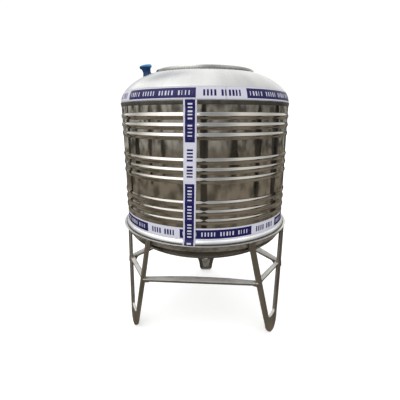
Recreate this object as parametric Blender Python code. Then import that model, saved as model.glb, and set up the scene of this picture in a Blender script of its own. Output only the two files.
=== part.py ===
"""Ribbed stainless steel water tank on a stand of three V-shaped legs."""
import math

import bmesh
import bpy
from mathutils import Matrix, Vector

# Sizes in metres: the ground is z = 0 and the tank's axis is the Z axis
TANK_RADIUS = 0.450
SHELL = 0.003
TOUCH_GAP = 0.0003
TURN_STEPS = 48

# Levels of the shell above the ground
WALL_BOTTOM = 0.591
WALL_TOP = 1.249
SHOULDER = 1.267
DOME_LAND = 1.407
DOME_LAND_RADIUS = 0.3064
DISH_DEPTH = 0.144
WALL_SEGMENTS = 8

# Pressed ribs: groups of ribs with plain wall between the groups
RIB_GROUPS = 3
RIBS_PER_GROUP = 3
RIB_TOP_GROUP = 1.1632
RIB_GROUP_PITCH = 0.1926
RIB_PITCH = 0.0428
RIB_HALF_WIDTH = 0.012
RIB_HEIGHT = 0.006

# Joint bands of the shell
SEAM_RADIUS = 0.4540
SEAM_SLOPE = 0.0035
HEM_RADIUS = 0.4660
HEM_TOP_RADIUS = 0.4528
HEM_TOP = 0.6460
HEM_STEPS = 5

# Manhole neck, lid and its bail
NECK_RADIUS = 0.2545
NECK_RIM_INNER = 0.2460
NECK_TOP = 1.4272
LID_RADIUS = 0.2626
LID_SHEET = 0.0030
LID_TOP = 1.4307
LID_CROWN = 1.4370
LID_CROWN_RADIUS = 0.1900
LID_CROWN_SLOPE = 0.016
BAIL_HALF_SPAN = 0.050
BAIL_TOP = 1.4660
BAIL_DIAMETER = 0.008
BAIL_BEND = 0.012

# Air vent on the dome, azimuths in degrees from -Y towards +X
VENT_AZIMUTH = -86.0
VENT_DISTANCE = 0.310
VENT_TILT = 11.0
VENT_HOLE = 0.0160
VENT_STEM = 0.0150
VENT_STEM_REACH = 0.014
VENT_COLLAR_RADIUS = 0.0240
VENT_COLLAR_HEIGHT = 0.0065
VENT_BASE_RADIUS = 0.0250
VENT_BASE_HEIGHT = 0.008
VENT_WAIST_RADIUS = 0.0205
VENT_WAIST_SLOPE = 0.006
VENT_CAP_RADIUS = 0.0330
VENT_CAP_HEIGHT = 0.012
VENT_CAP_EDGE = 0.003
VENT_HEIGHT = 0.055
VENT_CUT = 0.030
VENT_STEPS = 24

# Bottom outlet
OUTLET_RADIUS = 0.0200
OUTLET_BORE = 0.0170
OUTLET_TOP = 0.4550
OUTLET_BOTTOM = 0.4020
OUTLET_HEX = 0.0210
OUTLET_HEAD = 0.012

# Stand: ring under the tank
RING_INNER = 0.4525
RING_LIP_RADIUS = 0.4765
RING_LIP_TOP = 0.6190
RING_LIP_SHEET = 0.0035
RING_BAND_SHEET = 0.0030
RING_BAND_BOTTOM = 0.5830

# Stand: three V-shaped legs of pressed channel
FOOT_AZIMUTHS = (60.0, 183.2, -60.0)
FOOT_NAMES = ("front_right", "back", "front_left")
LEG_PLANE_TOP = 0.4159
LEG_PLANE_GROUND = 0.4679
LEG_SPREAD_TOP = 0.2031
LEG_SPREAD_GROUND = 0.0276
LEG_BOW = 0.0400
LEG_FIT_HEIGHT = 0.597
LEG_FACE = 0.0390
LEG_DEPTH = 0.0150
LEG_SHEET = 0.0030
LEG_CORNER = 0.0045
LEG_STEPS = 8
COPE_TOP = 0.700

# Stand: shoes, saddles and braces
SHOE_TOP = 0.122
SHOE_ROUND_TOP = 0.072
SHOE_CURVE = 1.6
SHOE_FLAT = 0.012
SHOE_STEPS = 8
NOTCH_TOP = 0.115
NOTCH_BOTTOM = 0.100
NOTCH_STEPS = 4
SADDLE_SHEET = 0.0030
SADDLE_BOTTOM = 0.5550
SADDLE_HALF_TOP = 0.062
SADDLE_HALF_BOTTOM = 0.0175
BRACE_HEIGHT = 0.371
BRACE_SHEET = 0.0030
BRACE_EDGE = 0.011
BRACE_WEB = 0.036
BRACE_WEB_LENGTH = 0.026
SHORT_BRACE_OUTER = 0.0072
SHORT_BRACE_INNER = 0.0190
LONG_BRACE_OUTER = 0.0242
LONG_BRACE_INNER = 0.0115
LONG_BRACE_MIDDLE = 0.0310


def clear_scene():
    for item in list(bpy.data.objects):
        bpy.data.objects.remove(item, do_unlink=True)


def make_material(name, color, metallic, roughness):
    material = bpy.data.materials.new(name)
    material.use_nodes = True
    shader = material.node_tree.nodes["Principled BSDF"]
    shader.inputs["Base Color"].default_value = (*color, 1.0)
    shader.inputs["Metallic"].default_value = metallic
    shader.inputs["Roughness"].default_value = roughness
    material.diffuse_color = (*color, 1.0)
    return material


def add_object(name, bm, material, sharp_degrees=40.0):
    """Give a finished bmesh an object of its own, with smooth round faces."""
    bmesh.ops.recalc_face_normals(bm, faces=bm.faces)
    mesh = bpy.data.meshes.new(name)
    bm.to_mesh(mesh)
    bm.free()
    mesh.shade_smooth()
    mesh.set_sharp_from_angle(angle=math.radians(sharp_degrees))
    mesh.materials.append(material)
    item = bpy.data.objects.new(name, mesh)
    bpy.context.scene.collection.objects.link(item)
    return item


def add_cutter(name, bm):
    """A closed shape that only cuts other objects."""
    bmesh.ops.recalc_face_normals(bm, faces=bm.faces)
    mesh = bpy.data.meshes.new(name)
    bm.to_mesh(mesh)
    bm.free()
    item = bpy.data.objects.new(name, mesh)
    item.display_type = "WIRE"
    item.hide_render = True
    bpy.context.scene.collection.objects.link(item)
    return item


def cut_away(item, cutter):
    modifier = item.modifiers.new("cut by " + cutter.name, "BOOLEAN")
    modifier.operation = "DIFFERENCE"
    modifier.solver = "EXACT"
    modifier.object = cutter


def revolve(profile, steps=TURN_STEPS, start=0.0, sweep=360.0):
    """Turn a profile of (radius, height) points about Z, from an azimuth in degrees.

    A profile that starts and ends on the axis is an open chain, and any other is a closed
    outline. A part turn gets flat faces at its two ends.
    """
    bm = bmesh.new()
    first = Matrix.Rotation(math.radians(start), 3, "Z")
    verts = [bm.verts.new(first @ Vector((0.0, -radius, height))) for radius, height in profile]
    edges = [bm.edges.new(pair) for pair in zip(verts, verts[1:])]
    on_axis = profile[0][0] == 0.0 and profile[-1][0] == 0.0
    if not on_axis:
        edges.append(bm.edges.new((verts[-1], verts[0])))
    full = sweep >= 360.0
    spun = bmesh.ops.spin(
        bm, geom=verts + edges, cent=(0.0, 0.0, 0.0), axis=(0.0, 0.0, 1.0),
        angle=math.radians(sweep), steps=steps, use_merge=full, use_duplicate=False)
    if full:
        bmesh.ops.remove_doubles(bm, verts=bm.verts, dist=1e-6)
        return bm
    last = [part for part in spun["geom_last"] if isinstance(part, bmesh.types.BMVert)]
    turned = Matrix.Rotation(math.radians(sweep), 3, "Z")
    ordered = []
    for vert in verts:
        target = turned @ vert.co
        ordered.append(min(last, key=lambda other: (other.co - target).length))
    bm.faces.new(verts)
    bm.faces.new(ordered)
    return bm


def extrude_outline(points, shift):
    """Close a flat outline of 3-D points and sweep it along one vector."""
    bm = bmesh.new()
    face = bm.faces.new([bm.verts.new(point) for point in points])
    grown = bmesh.ops.extrude_face_region(bm, geom=[face])
    moved = [part for part in grown["geom"] if isinstance(part, bmesh.types.BMVert)]
    bmesh.ops.translate(bm, verts=moved, vec=shift)
    return bm


def arc_points(centre, radius, start, end, count):
    """Points on an arc, with angles in degrees."""
    points = []
    for index in range(count + 1):
        angle = math.radians(start + (end - start) * index / count)
        points.append((centre[0] + radius * math.cos(angle), centre[1] + radius * math.sin(angle)))
    return points


def ellipse_arc(radius, rise, base, stop, count):
    """Outline of a dished end from its rim (radius, base) to the angle stop, in radians."""
    points = []
    for index in range(count + 1):
        angle = stop * index / count
        points.append((radius * math.cos(angle), base + rise * math.sin(angle)))
    return points


# Shell of the tank

def rib_heights():
    heights = []
    for group in range(RIB_GROUPS):
        middle = RIB_TOP_GROUP - group * RIB_GROUP_PITCH
        for index in range(RIBS_PER_GROUP):
            heights.append(middle + ((RIBS_PER_GROUP - 1) / 2 - index) * RIB_PITCH)
    return sorted(heights)


def wall_profile():
    """Outer face with its ribs from bottom to top, then the plain inner face."""
    points = [(TANK_RADIUS, WALL_BOTTOM)]
    for height in rib_heights():
        for place, bulge in ((-1.0, 0.0), (-0.5, 0.5), (0.0, 1.0), (0.5, 0.5), (1.0, 0.0)):
            points.append((TANK_RADIUS + bulge * RIB_HEIGHT, height + place * RIB_HALF_WIDTH))
    points.append((TANK_RADIUS, WALL_TOP))
    points.append((TANK_RADIUS - SHELL, WALL_TOP))
    points.append((TANK_RADIUS - SHELL, WALL_BOTTOM))
    return points


def make_wall(material):
    sweep = 360.0 / WALL_SEGMENTS
    gap = math.degrees(TOUCH_GAP / TANK_RADIUS)
    for index in range(WALL_SEGMENTS):
        bm = revolve(wall_profile(), TURN_STEPS // WALL_SEGMENTS, index * sweep + gap / 2, sweep - gap)
        add_object(f"wall_segment_{index + 1}", bm, material, 60.0)


def make_hem(material):
    """Flared band at the foot of the wall, which rests on the stand's ring."""
    low = RING_LIP_TOP + TOUCH_GAP
    outer = []
    inside = []
    for step in range(HEM_STEPS + 1):
        share = step / HEM_STEPS
        flare = (1.0 + math.cos(math.pi * share)) / 2
        radius = HEM_TOP_RADIUS + (HEM_RADIUS - HEM_TOP_RADIUS) * flare
        height = low + (HEM_TOP - low) * share
        outer.append((radius, height))
        inside.append((max(radius - SHELL, TANK_RADIUS + TOUCH_GAP), height))
    add_object("base_hem", revolve(outer + inside[::-1]), material)


def make_seam(material):
    low = WALL_TOP + TOUCH_GAP
    high = SHOULDER - TOUCH_GAP
    profile = [(TANK_RADIUS - SHELL, low), (TANK_RADIUS, low), (SEAM_RADIUS, low + SEAM_SLOPE),
               (SEAM_RADIUS, high - SEAM_SLOPE), (TANK_RADIUS, high), (TANK_RADIUS - SHELL, high)]
    add_object("shoulder_seam", revolve(profile), material)


def dome_rise():
    """Half height of the dome's ellipse, from its radius at the flat land."""
    ratio = DOME_LAND_RADIUS / TANK_RADIUS
    return (DOME_LAND - SHOULDER) / math.sqrt(1.0 - ratio ** 2)


def dome_height(radius):
    ratio = min(radius / TANK_RADIUS, 1.0)
    return min(SHOULDER + dome_rise() * math.sqrt(1.0 - ratio ** 2), DOME_LAND)


def make_dome(material, vent_cutter):
    rise = dome_rise()
    stop = math.asin((DOME_LAND - SHOULDER) / rise)
    inner_stop = math.asin((DOME_LAND - SHELL - SHOULDER) / (rise - SHELL))
    outer = ellipse_arc(TANK_RADIUS, rise, SHOULDER, stop, 9)
    inside = ellipse_arc(TANK_RADIUS - SHELL, rise - SHELL, SHOULDER, inner_stop, 7)
    hole = NECK_RADIUS - SHELL
    profile = outer + [(hole, DOME_LAND), (hole, DOME_LAND - SHELL)] + inside[::-1]
    dome = add_object("dome", revolve(profile), material)
    cut_away(dome, vent_cutter)


def make_dish(material):
    top = WALL_BOTTOM - TOUCH_GAP
    hole = OUTLET_RADIUS + TOUCH_GAP
    outer = ellipse_arc(TANK_RADIUS, -DISH_DEPTH, top, math.acos(hole / TANK_RADIUS), 9)
    inner_radius = TANK_RADIUS - SHELL
    inside = ellipse_arc(inner_radius, SHELL - DISH_DEPTH, top, math.acos(hole / inner_radius), 8)
    add_object("bottom_dish", revolve(outer + inside[::-1]), material)


def make_outlet(steel):
    """Threaded socket at the lowest point of the tank, closed by a hexagon plug."""
    socket = [(OUTLET_BORE, OUTLET_BOTTOM), (OUTLET_RADIUS, OUTLET_BOTTOM), (OUTLET_RADIUS, OUTLET_TOP),
              (OUTLET_BORE, OUTLET_TOP)]
    add_object("outlet_socket", revolve(socket, VENT_STEPS), steel)
    stem = OUTLET_BORE - TOUCH_GAP
    head_top = OUTLET_BOTTOM - TOUCH_GAP
    plug = revolve([(0.0, OUTLET_TOP), (stem, OUTLET_TOP), (stem, head_top), (OUTLET_HEX, head_top),
                    (OUTLET_HEX, head_top - OUTLET_HEAD), (0.0, head_top - OUTLET_HEAD)], 6)
    add_object("outlet_plug", plug, steel)


# Manhole

def make_neck(material):
    low = DOME_LAND + TOUCH_GAP
    inner = NECK_RADIUS - SHELL
    profile = [(inner, low), (NECK_RADIUS, low), (NECK_RADIUS, NECK_TOP), (NECK_RIM_INNER, NECK_TOP),
               (NECK_RIM_INNER, NECK_TOP - SHELL), (inner, NECK_TOP - SHELL)]
    add_object("manhole_neck", revolve(profile), material)


def make_lid(material):
    """Pressed cover with a skirt outside the neck and a raised flat crown."""
    sheet = LID_SHEET
    under = NECK_TOP + TOUCH_GAP
    skirt_end = DOME_LAND + 3 * TOUCH_GAP
    step_radius = LID_CROWN_RADIUS + LID_CROWN_SLOPE
    profile = [(0.0, LID_CROWN), (LID_CROWN_RADIUS, LID_CROWN), (step_radius, LID_TOP),
               (LID_RADIUS - sheet, LID_TOP), (LID_RADIUS, LID_TOP - sheet), (LID_RADIUS, skirt_end),
               (LID_RADIUS - sheet, skirt_end), (LID_RADIUS - sheet, under), (step_radius, under),
               (LID_CROWN_RADIUS, LID_CROWN - LID_TOP + under), (0.0, LID_CROWN - LID_TOP + under)]
    return add_object("lid", revolve(profile), material)


def make_lid_bail(material):
    """Round bar bent over the middle of the lid, standing on its crown."""
    top = BAIL_TOP - BAIL_DIAMETER / 2
    corner = BAIL_HALF_SPAN - BAIL_BEND
    right = arc_points((corner, top - BAIL_BEND), BAIL_BEND, 0.0, 90.0, 5)
    left = [(-x, z) for x, z in right[::-1]]
    foot = LID_CROWN + TOUCH_GAP
    route = [(BAIL_HALF_SPAN, foot)] + right + left + [(-BAIL_HALF_SPAN, foot)]
    curve = bpy.data.curves.new("lid_bail", "CURVE")
    curve.dimensions = "3D"
    curve.bevel_depth = BAIL_DIAMETER / 2
    curve.bevel_resolution = 2
    curve.use_fill_caps = True
    spline = curve.splines.new("POLY")
    spline.points.add(len(route) - 1)
    for point, (x, z) in zip(spline.points, route):
        point.co = (x, 0.0, z, 1.0)
    curve.materials.append(material)
    bail = bpy.data.objects.new("lid_bail", curve)
    bpy.context.scene.collection.objects.link(bail)
    return bail


# Air vent

def vent_frame():
    """Placement of the vent: its base on the dome, Z along its own leaning axis."""
    azimuth = math.radians(VENT_AZIMUTH)
    turn = Matrix.Rotation(azimuth, 4, "Z")
    lean = Matrix.Rotation(math.radians(VENT_TILT), 4, "X")
    base = Vector((math.sin(azimuth) * VENT_DISTANCE, -math.cos(azimuth) * VENT_DISTANCE,
                   dome_height(VENT_DISTANCE)))
    return Matrix.Translation(base) @ turn @ lean


def make_vent_cutter():
    bm = revolve([(0.0, VENT_CUT), (VENT_HOLE, VENT_CUT), (VENT_HOLE, -VENT_CUT), (0.0, -VENT_CUT)],
                 VENT_STEPS)
    bm.transform(vent_frame())
    return add_cutter("vent_hole_cutter", bm)


def drop_to_dome(point, axis):
    """The place on the dome's outer face straight under a point, along the vent's axis."""
    low = 0.0
    high = 2 * VENT_CUT
    for _ in range(40):
        middle = (low + high) / 2
        place = point - axis * middle
        if place.z > dome_height(math.hypot(place.x, place.y)) + 2 * TOUCH_GAP:
            low = middle
        else:
            high = middle
    return point - axis * low


def make_vent_collar(material):
    """Welded steel collar whose foot follows the dome."""
    frame = vent_frame()
    axis = frame.to_3x3() @ Vector((0.0, 0.0, 1.0))
    bm = bmesh.new()
    rings = []
    for radius, on_dome in ((VENT_HOLE, True), (VENT_COLLAR_RADIUS, True),
                            (VENT_COLLAR_RADIUS, False), (VENT_HOLE, False)):
        ring = []
        for index in range(VENT_STEPS):
            angle = 2.0 * math.pi * index / VENT_STEPS
            flat = Vector((radius * math.cos(angle), radius * math.sin(angle), VENT_COLLAR_HEIGHT))
            place = frame @ flat
            if on_dome:
                place = drop_to_dome(place, axis)
            ring.append(bm.verts.new(place))
        rings.append(ring)
    for lower, upper in zip(rings, rings[1:] + rings[:1]):
        for index in range(VENT_STEPS):
            after = (index + 1) % VENT_STEPS
            bm.faces.new((lower[index], lower[after], upper[after], upper[index]))
    add_object("vent_collar", bm, material)


def make_vent_cap(material):
    """Moulded breather: stem through the collar, waisted body and wide flat cap."""
    foot = VENT_COLLAR_HEIGHT + TOUCH_GAP
    top = foot + VENT_HEIGHT
    waist_low = foot + VENT_BASE_HEIGHT + VENT_WAIST_SLOPE
    waist_high = top - VENT_CAP_HEIGHT - VENT_CAP_EDGE - VENT_BASE_HEIGHT
    profile = [(0.0, -VENT_STEM_REACH), (VENT_STEM, -VENT_STEM_REACH), (VENT_STEM, foot),
               (VENT_BASE_RADIUS, foot), (VENT_BASE_RADIUS, foot + VENT_BASE_HEIGHT),
               (VENT_WAIST_RADIUS, waist_low), (VENT_WAIST_RADIUS, waist_high),
               (VENT_BASE_RADIUS, top - VENT_CAP_HEIGHT - VENT_CAP_EDGE),
               (VENT_CAP_RADIUS, top - VENT_CAP_HEIGHT), (VENT_CAP_RADIUS, top - VENT_CAP_EDGE),
               (VENT_CAP_RADIUS - VENT_CAP_EDGE, top), (0.0, top)]
    bm = revolve(profile, VENT_STEPS)
    bm.transform(vent_frame())
    add_object("vent_cap", bm, material, 30.0)


# Stand

def leg_point(azimuth, side, height, outward):
    """A point of a V leg: side runs along the V's plane, outward is square to it."""
    angle = math.radians(azimuth)
    share = height / LEG_FIT_HEIGHT
    distance = LEG_PLANE_GROUND + (LEG_PLANE_TOP - LEG_PLANE_GROUND) * share + outward
    normal = Vector((math.sin(angle), -math.cos(angle), 0.0))
    along = Vector((math.cos(angle), math.sin(angle), 0.0))
    return normal * distance + along * side + Vector((0.0, 0.0, height))


def leg_spread(height):
    """Distance of a bar's slightly bowed middle line from the middle of its V at a height."""
    share = height / LEG_FIT_HEIGHT
    straight = LEG_SPREAD_GROUND + (LEG_SPREAD_TOP - LEG_SPREAD_GROUND) * share
    return straight + LEG_BOW * height * (LEG_FIT_HEIGHT - height)


def channel_section():
    """Level section of a leg bar as (side, outward) points, open towards the tank."""
    half = LEG_FACE / 2
    deep = LEG_DEPTH / 2
    left = arc_points((LEG_CORNER - half, deep - LEG_CORNER), LEG_CORNER, 180.0, 90.0, 2)
    right = arc_points((half - LEG_CORNER, deep - LEG_CORNER), LEG_CORNER, 90.0, 0.0, 2)
    inner = half - LEG_SHEET
    return ([(-half, -deep)] + left + right + [(half, -deep), (inner, -deep), (inner, deep - LEG_SHEET),
            (-inner, deep - LEG_SHEET), (-inner, -deep)])


def join_rings(bm, rings):
    """Skin a row of equal rings of vertices and close both ends."""
    for lower, upper in zip(rings, rings[1:]):
        count = len(lower)
        for index in range(count):
            after = (index + 1) % count
            bm.faces.new((lower[index], lower[after], upper[after], upper[index]))
    bm.faces.new(rings[0])
    bm.faces.new(rings[-1])


def leg_bar_shape(azimuth, hand, section, low, high):
    """One leg bar between two levels; hand is -1 or 1 for the bar's side of the V."""
    bm = bmesh.new()
    rings = []
    for step in range(LEG_STEPS + 1):
        height = low + (high - low) * step / LEG_STEPS
        middle = hand * leg_spread(height)
        rings.append([bm.verts.new(leg_point(azimuth, middle + side, height, outward))
                      for side, outward in section])
    join_rings(bm, rings)
    return bm


def make_legs(material):
    low = SHOE_TOP + TOUCH_GAP
    high = RING_LIP_TOP - RING_LIP_SHEET - TOUCH_GAP
    saddle_face = RING_INNER + RING_BAND_SHEET + SADDLE_SHEET + TOUCH_GAP
    reach = (saddle_face + TOUCH_GAP) / math.cos(math.pi / TURN_STEPS)
    low_cope = SADDLE_BOTTOM - TOUCH_GAP
    cope = add_cutter("cope_cutter", revolve([(0.0, COPE_TOP), (reach, COPE_TOP), (reach, low_cope),
                                              (0.0, low_cope)]))
    for azimuth, name in zip(FOOT_AZIMUTHS, FOOT_NAMES):
        for hand, side_name in ((-1, "a"), (1, "b")):
            bm = leg_bar_shape(azimuth, hand, channel_section(), low, high)
            bar = add_object(f"leg_{name}_{side_name}", bm, material)
            cut_away(bar, cope)


def shoe_outline():
    """Right half of a shoe as (side, height), from the ground round its tip and into the notch."""
    half = LEG_FACE / 2
    round_outer = leg_spread(SHOE_ROUND_TOP) + half
    points = [(SHOE_FLAT, 0.0)]
    for step in range(1, SHOE_STEPS + 1):
        share = (step / SHOE_STEPS) ** 1.5
        bulge = (1.0 - (1.0 - share) ** SHOE_CURVE) ** (1.0 / SHOE_CURVE)
        points.append((SHOE_FLAT + (round_outer - SHOE_FLAT) * bulge, SHOE_ROUND_TOP * share))
    points.append((leg_spread(SHOE_TOP) + half, SHOE_TOP))
    points.append((leg_spread(SHOE_TOP) - half, SHOE_TOP))
    corner = leg_spread(NOTCH_TOP) - half
    for step in range(NOTCH_STEPS):
        angle = math.pi / 2 * step / NOTCH_STEPS
        points.append((corner * math.cos(angle),
                       NOTCH_TOP - (NOTCH_TOP - NOTCH_BOTTOM) * math.sin(angle)))
    points.append((0.0, NOTCH_BOTTOM))
    return points


def inset_outline(points, distance):
    """Move the corners of a closed outline, given anticlockwise, inwards by a distance."""
    moved = []
    for index, here in enumerate(points):
        before = Vector(here) - Vector(points[index - 1])
        after = Vector(points[(index + 1) % len(points)]) - Vector(here)
        left_before = Vector((-before.y, before.x)).normalized()
        left_after = Vector((-after.y, after.x)).normalized()
        mean = (left_before + left_after).normalized()
        moved.append(Vector(here) + mean * (distance / max(mean.dot(left_after), 0.4)))
    return moved


def round_front_edges(bm, points, across):
    """Round the rim of a shoe's outer face like the corners of the bars, but not at its top."""
    rim = []
    for edge in bm.edges:
        in_front = all((vert.co - points[0]).dot(across) > across.length_squared / 2 for vert in edge.verts)
        on_top = all(vert.co.z > SHOE_TOP - TOUCH_GAP for vert in edge.verts)
        if in_front and not on_top:
            rim.append(edge)
    bmesh.ops.bevel(bm, geom=rim, offset=LEG_CORNER, offset_type="OFFSET", segments=2, profile=0.5,
                    affect="EDGES", material=-1, clamp_overlap=True)


def make_shoes(material):
    """Rounded foot of each V: a pressed plate, open towards the tank, that stands on a flat."""
    right = shoe_outline()
    outline = [(-side, height) for side, height in right[-2::-1]]
    outline = outline + right
    pocket = []
    for point in inset_outline(outline, LEG_SHEET):
        raised = SHOE_TOP + LEG_SHEET if point.y > SHOE_TOP - 2 * LEG_SHEET else point.y
        pocket.append((point.x, raised))
    deep = LEG_DEPTH / 2
    for azimuth, name in zip(FOOT_AZIMUTHS, FOOT_NAMES):
        across = leg_point(azimuth, 0.0, 0.0, LEG_DEPTH) - leg_point(azimuth, 0.0, 0.0, 0.0)
        points = [leg_point(azimuth, side, height, -deep) for side, height in outline]
        bm = extrude_outline(points, across)
        round_front_edges(bm, points, across)
        shoe = add_object(f"shoe_{name}", bm, material)
        hollow = [leg_point(azimuth, side, height, -deep - LEG_SHEET) for side, height in pocket]
        cut_away(shoe, add_cutter(f"pocket_{name}", extrude_outline(hollow, across)))


def make_ring(material):
    band = RING_INNER + RING_BAND_SHEET
    under = RING_LIP_TOP - RING_LIP_SHEET
    profile = [(RING_INNER, RING_BAND_BOTTOM), (band, RING_BAND_BOTTOM), (band, under),
               (RING_LIP_RADIUS - 0.001, under), (RING_LIP_RADIUS, under + 0.001),
               (RING_LIP_RADIUS, RING_LIP_TOP - 0.001), (RING_LIP_RADIUS - 0.001, RING_LIP_TOP),
               (RING_INNER, RING_LIP_TOP)]
    add_object("stand_ring", revolve(profile), material)


def saddle_azimuth(azimuth, hand, height):
    """Azimuth of a leg bar's middle at a height."""
    place = leg_point(azimuth, hand * leg_spread(height), height, 0.0)
    return math.atan2(place.x, -place.y)


def make_saddles(material):
    """Plates that lean with the leg bars and spread their tops along the ring's band."""
    columns = 6
    rows = 5
    inner = RING_INNER + RING_BAND_SHEET + TOUCH_GAP
    high = RING_LIP_TOP - RING_LIP_SHEET - TOUCH_GAP
    for foot, name in zip(FOOT_AZIMUTHS, FOOT_NAMES):
        for hand, side_name in ((-1, "a"), (1, "b")):
            bm = bmesh.new()
            grids = []
            for radius in (inner, inner + SADDLE_SHEET):
                grid = []
                for row in range(rows + 1):
                    angle = math.pi / 2 * row / rows
                    height = SADDLE_BOTTOM + (high - SADDLE_BOTTOM) * math.sin(angle)
                    middle = saddle_azimuth(foot, hand, height)
                    spread = (SADDLE_HALF_TOP - SADDLE_HALF_BOTTOM) * (1 - math.cos(angle))
                    half = SADDLE_HALF_BOTTOM + spread
                    line = []
                    for column in range(columns + 1):
                        turn = middle + half / radius * (2 * column / columns - 1)
                        place = (radius * math.sin(turn), -radius * math.cos(turn), height)
                        line.append(bm.verts.new(place))
                    grid.append(line)
                grids.append(grid)
            for grid in grids:
                for row in range(rows):
                    for column in range(columns):
                        bm.faces.new((grid[row][column], grid[row][column + 1],
                                      grid[row + 1][column + 1], grid[row + 1][column]))
            rims = []
            for grid in grids:
                rims.append(grid[0] + [line[-1] for line in grid[1:]] + grid[-1][-2::-1]
                            + [line[0] for line in grid[-2:0:-1]])
            count = len(rims[0])
            for index in range(count):
                after = (index + 1) % count
                bm.faces.new((rims[0][index], rims[0][after], rims[1][after], rims[1][index]))
            add_object(f"saddle_{name}_{side_name}", bm, material)


def brace_joint(azimuth, hand):
    """Where the braces' middle lines meet a leg bar."""
    return leg_point(azimuth, hand * leg_spread(BRACE_HEIGHT), BRACE_HEIGHT, 0.0)


def brace_line(index, hand):
    """Start and end of the short brace of a leg (hand 0), or of the long one that follows it."""
    azimuth = FOOT_AZIMUTHS[index]
    if hand == 0:
        return brace_joint(azimuth, -1), brace_joint(azimuth, 1)
    after = FOOT_AZIMUTHS[(index + 1) % len(FOOT_AZIMUTHS)]
    return brace_joint(azimuth, 1), brace_joint(after, -1)


def mitre_slope(first, second):
    """Slope of the joint between two braces that meet, each given by its start and end."""
    turn = (first[1] - first[0]).angle(second[1] - second[0])
    return math.tan(turn / 2)


def brace_shape(line, slopes, outer, inner, middle):
    """Inverted channel between two joints, with deeper webs where it meets the legs.

    outer, inner and middle are distances from the line of the joints: of the outer edge, of
    the inner edge at its ends, and of the inner edge in the middle of its bow.
    """
    start, end = line
    along = (end - start).normalized()
    outward = Vector((along.y, -along.x, 0.0))
    length = (end - start).length
    seat = LEG_FACE / 2
    drops = [(0.0, BRACE_WEB), (seat, BRACE_WEB)]
    for place, drop in arc_points((1.0, 1.0), 1.0, 180.0, 270.0, 4)[1:]:
        drops.append((seat + BRACE_WEB_LENGTH * place,
                      BRACE_WEB - (BRACE_WEB - BRACE_EDGE) * (1.0 - drop)))
    free = length - 2 * (seat + BRACE_WEB_LENGTH)
    inside = [(seat + BRACE_WEB_LENGTH + free * share, BRACE_EDGE, 0.0, 0.0)
              for share in (0.2, 0.4, 0.6, 0.8)]
    stations = [(place, drop, 1.0, slopes[0]) for place, drop in drops]
    stations += inside
    stations += [(length - place, drop, -1.0, slopes[1]) for place, drop in drops[::-1]]
    bm = bmesh.new()
    rings = []
    for place, drop, sign, slope in stations:
        trim = TOUCH_GAP / 2 * math.hypot(1.0, slope)
        back = -inner - (middle - inner) * (1.0 - (2.0 * place / length - 1.0) ** 2)
        section = ((outer, 0.0), (outer, -drop), (outer - BRACE_SHEET, -drop),
                   (outer - BRACE_SHEET, -BRACE_SHEET), (back + BRACE_SHEET, -BRACE_SHEET),
                   (back + BRACE_SHEET, -drop), (back, -drop), (back, 0.0))
        ring = []
        for across, level in section:
            shift = place + sign * (trim - across * slope)
            point = start + along * shift + outward * across + Vector((0.0, 0.0, level))
            ring.append(bm.verts.new(point))
        rings.append(ring)
    join_rings(bm, rings)
    return bm


def make_leg_cutter(azimuth, hand, name):
    """Solid prism a touch larger than a leg bar, which notches the braces."""
    half = LEG_FACE / 2 + TOUCH_GAP
    deep = LEG_DEPTH / 2 + TOUCH_GAP
    section = [(-half, -deep), (-half, deep), (half, deep), (half, -deep)]
    low = BRACE_HEIGHT - 2 * BRACE_WEB
    high = BRACE_HEIGHT + BRACE_WEB
    return add_cutter(name, leg_bar_shape(azimuth, hand, section, low, high))


def make_front_cutter(azimuth, name):
    """Block outside the outer faces of one V, which trims the long braces flush with them."""
    low = BRACE_HEIGHT - 2 * BRACE_WEB
    high = BRACE_HEIGHT + BRACE_WEB
    reach = leg_spread(BRACE_HEIGHT) + LEG_FACE
    face = LEG_DEPTH / 2
    points = []
    for side, height in ((-reach, low), (reach, low), (reach, high), (-reach, high)):
        points.append(leg_point(azimuth, side, height, face))
    across = leg_point(azimuth, 0.0, 0.0, LEG_FACE) - leg_point(azimuth, 0.0, 0.0, 0.0)
    return add_cutter(name, extrude_outline(points, across))


def make_braces(material):
    """Six braces that tie the leg bars into a hexagon halfway up the stand."""
    bars = {}
    faces = {}
    for azimuth, name in zip(FOOT_AZIMUTHS, FOOT_NAMES):
        faces[name] = make_front_cutter(azimuth, f"face_{name}")
        for hand, side_name in ((-1, "a"), (1, "b")):
            bars[name, hand] = make_leg_cutter(azimuth, hand, f"notch_{name}_{side_name}")
    count = len(FOOT_AZIMUTHS)
    for index in range(count):
        name = FOOT_NAMES[index]
        short_line = brace_line(index, 0)
        long_line = brace_line(index, 1)
        before = mitre_slope(brace_line(index - 1, 1), short_line)
        middle = mitre_slope(short_line, long_line)
        after = (index + 1) % count
        last = mitre_slope(long_line, brace_line(after, 0))
        bm = brace_shape(short_line, (before, middle), SHORT_BRACE_OUTER, SHORT_BRACE_INNER,
                         SHORT_BRACE_INNER)
        short = add_object(f"brace_{name}", bm, material)
        cut_away(short, bars[name, -1])
        cut_away(short, bars[name, 1])
        after_name = FOOT_NAMES[after]
        bm = brace_shape(long_line, (middle, last), LONG_BRACE_OUTER, LONG_BRACE_INNER,
                         LONG_BRACE_MIDDLE)
        long_brace = add_object(f"brace_{name}_to_{after_name}", bm, material)
        for cutter in (bars[name, 1], bars[after_name, -1], faces[name], faces[after_name]):
            cut_away(long_brace, cutter)


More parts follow.
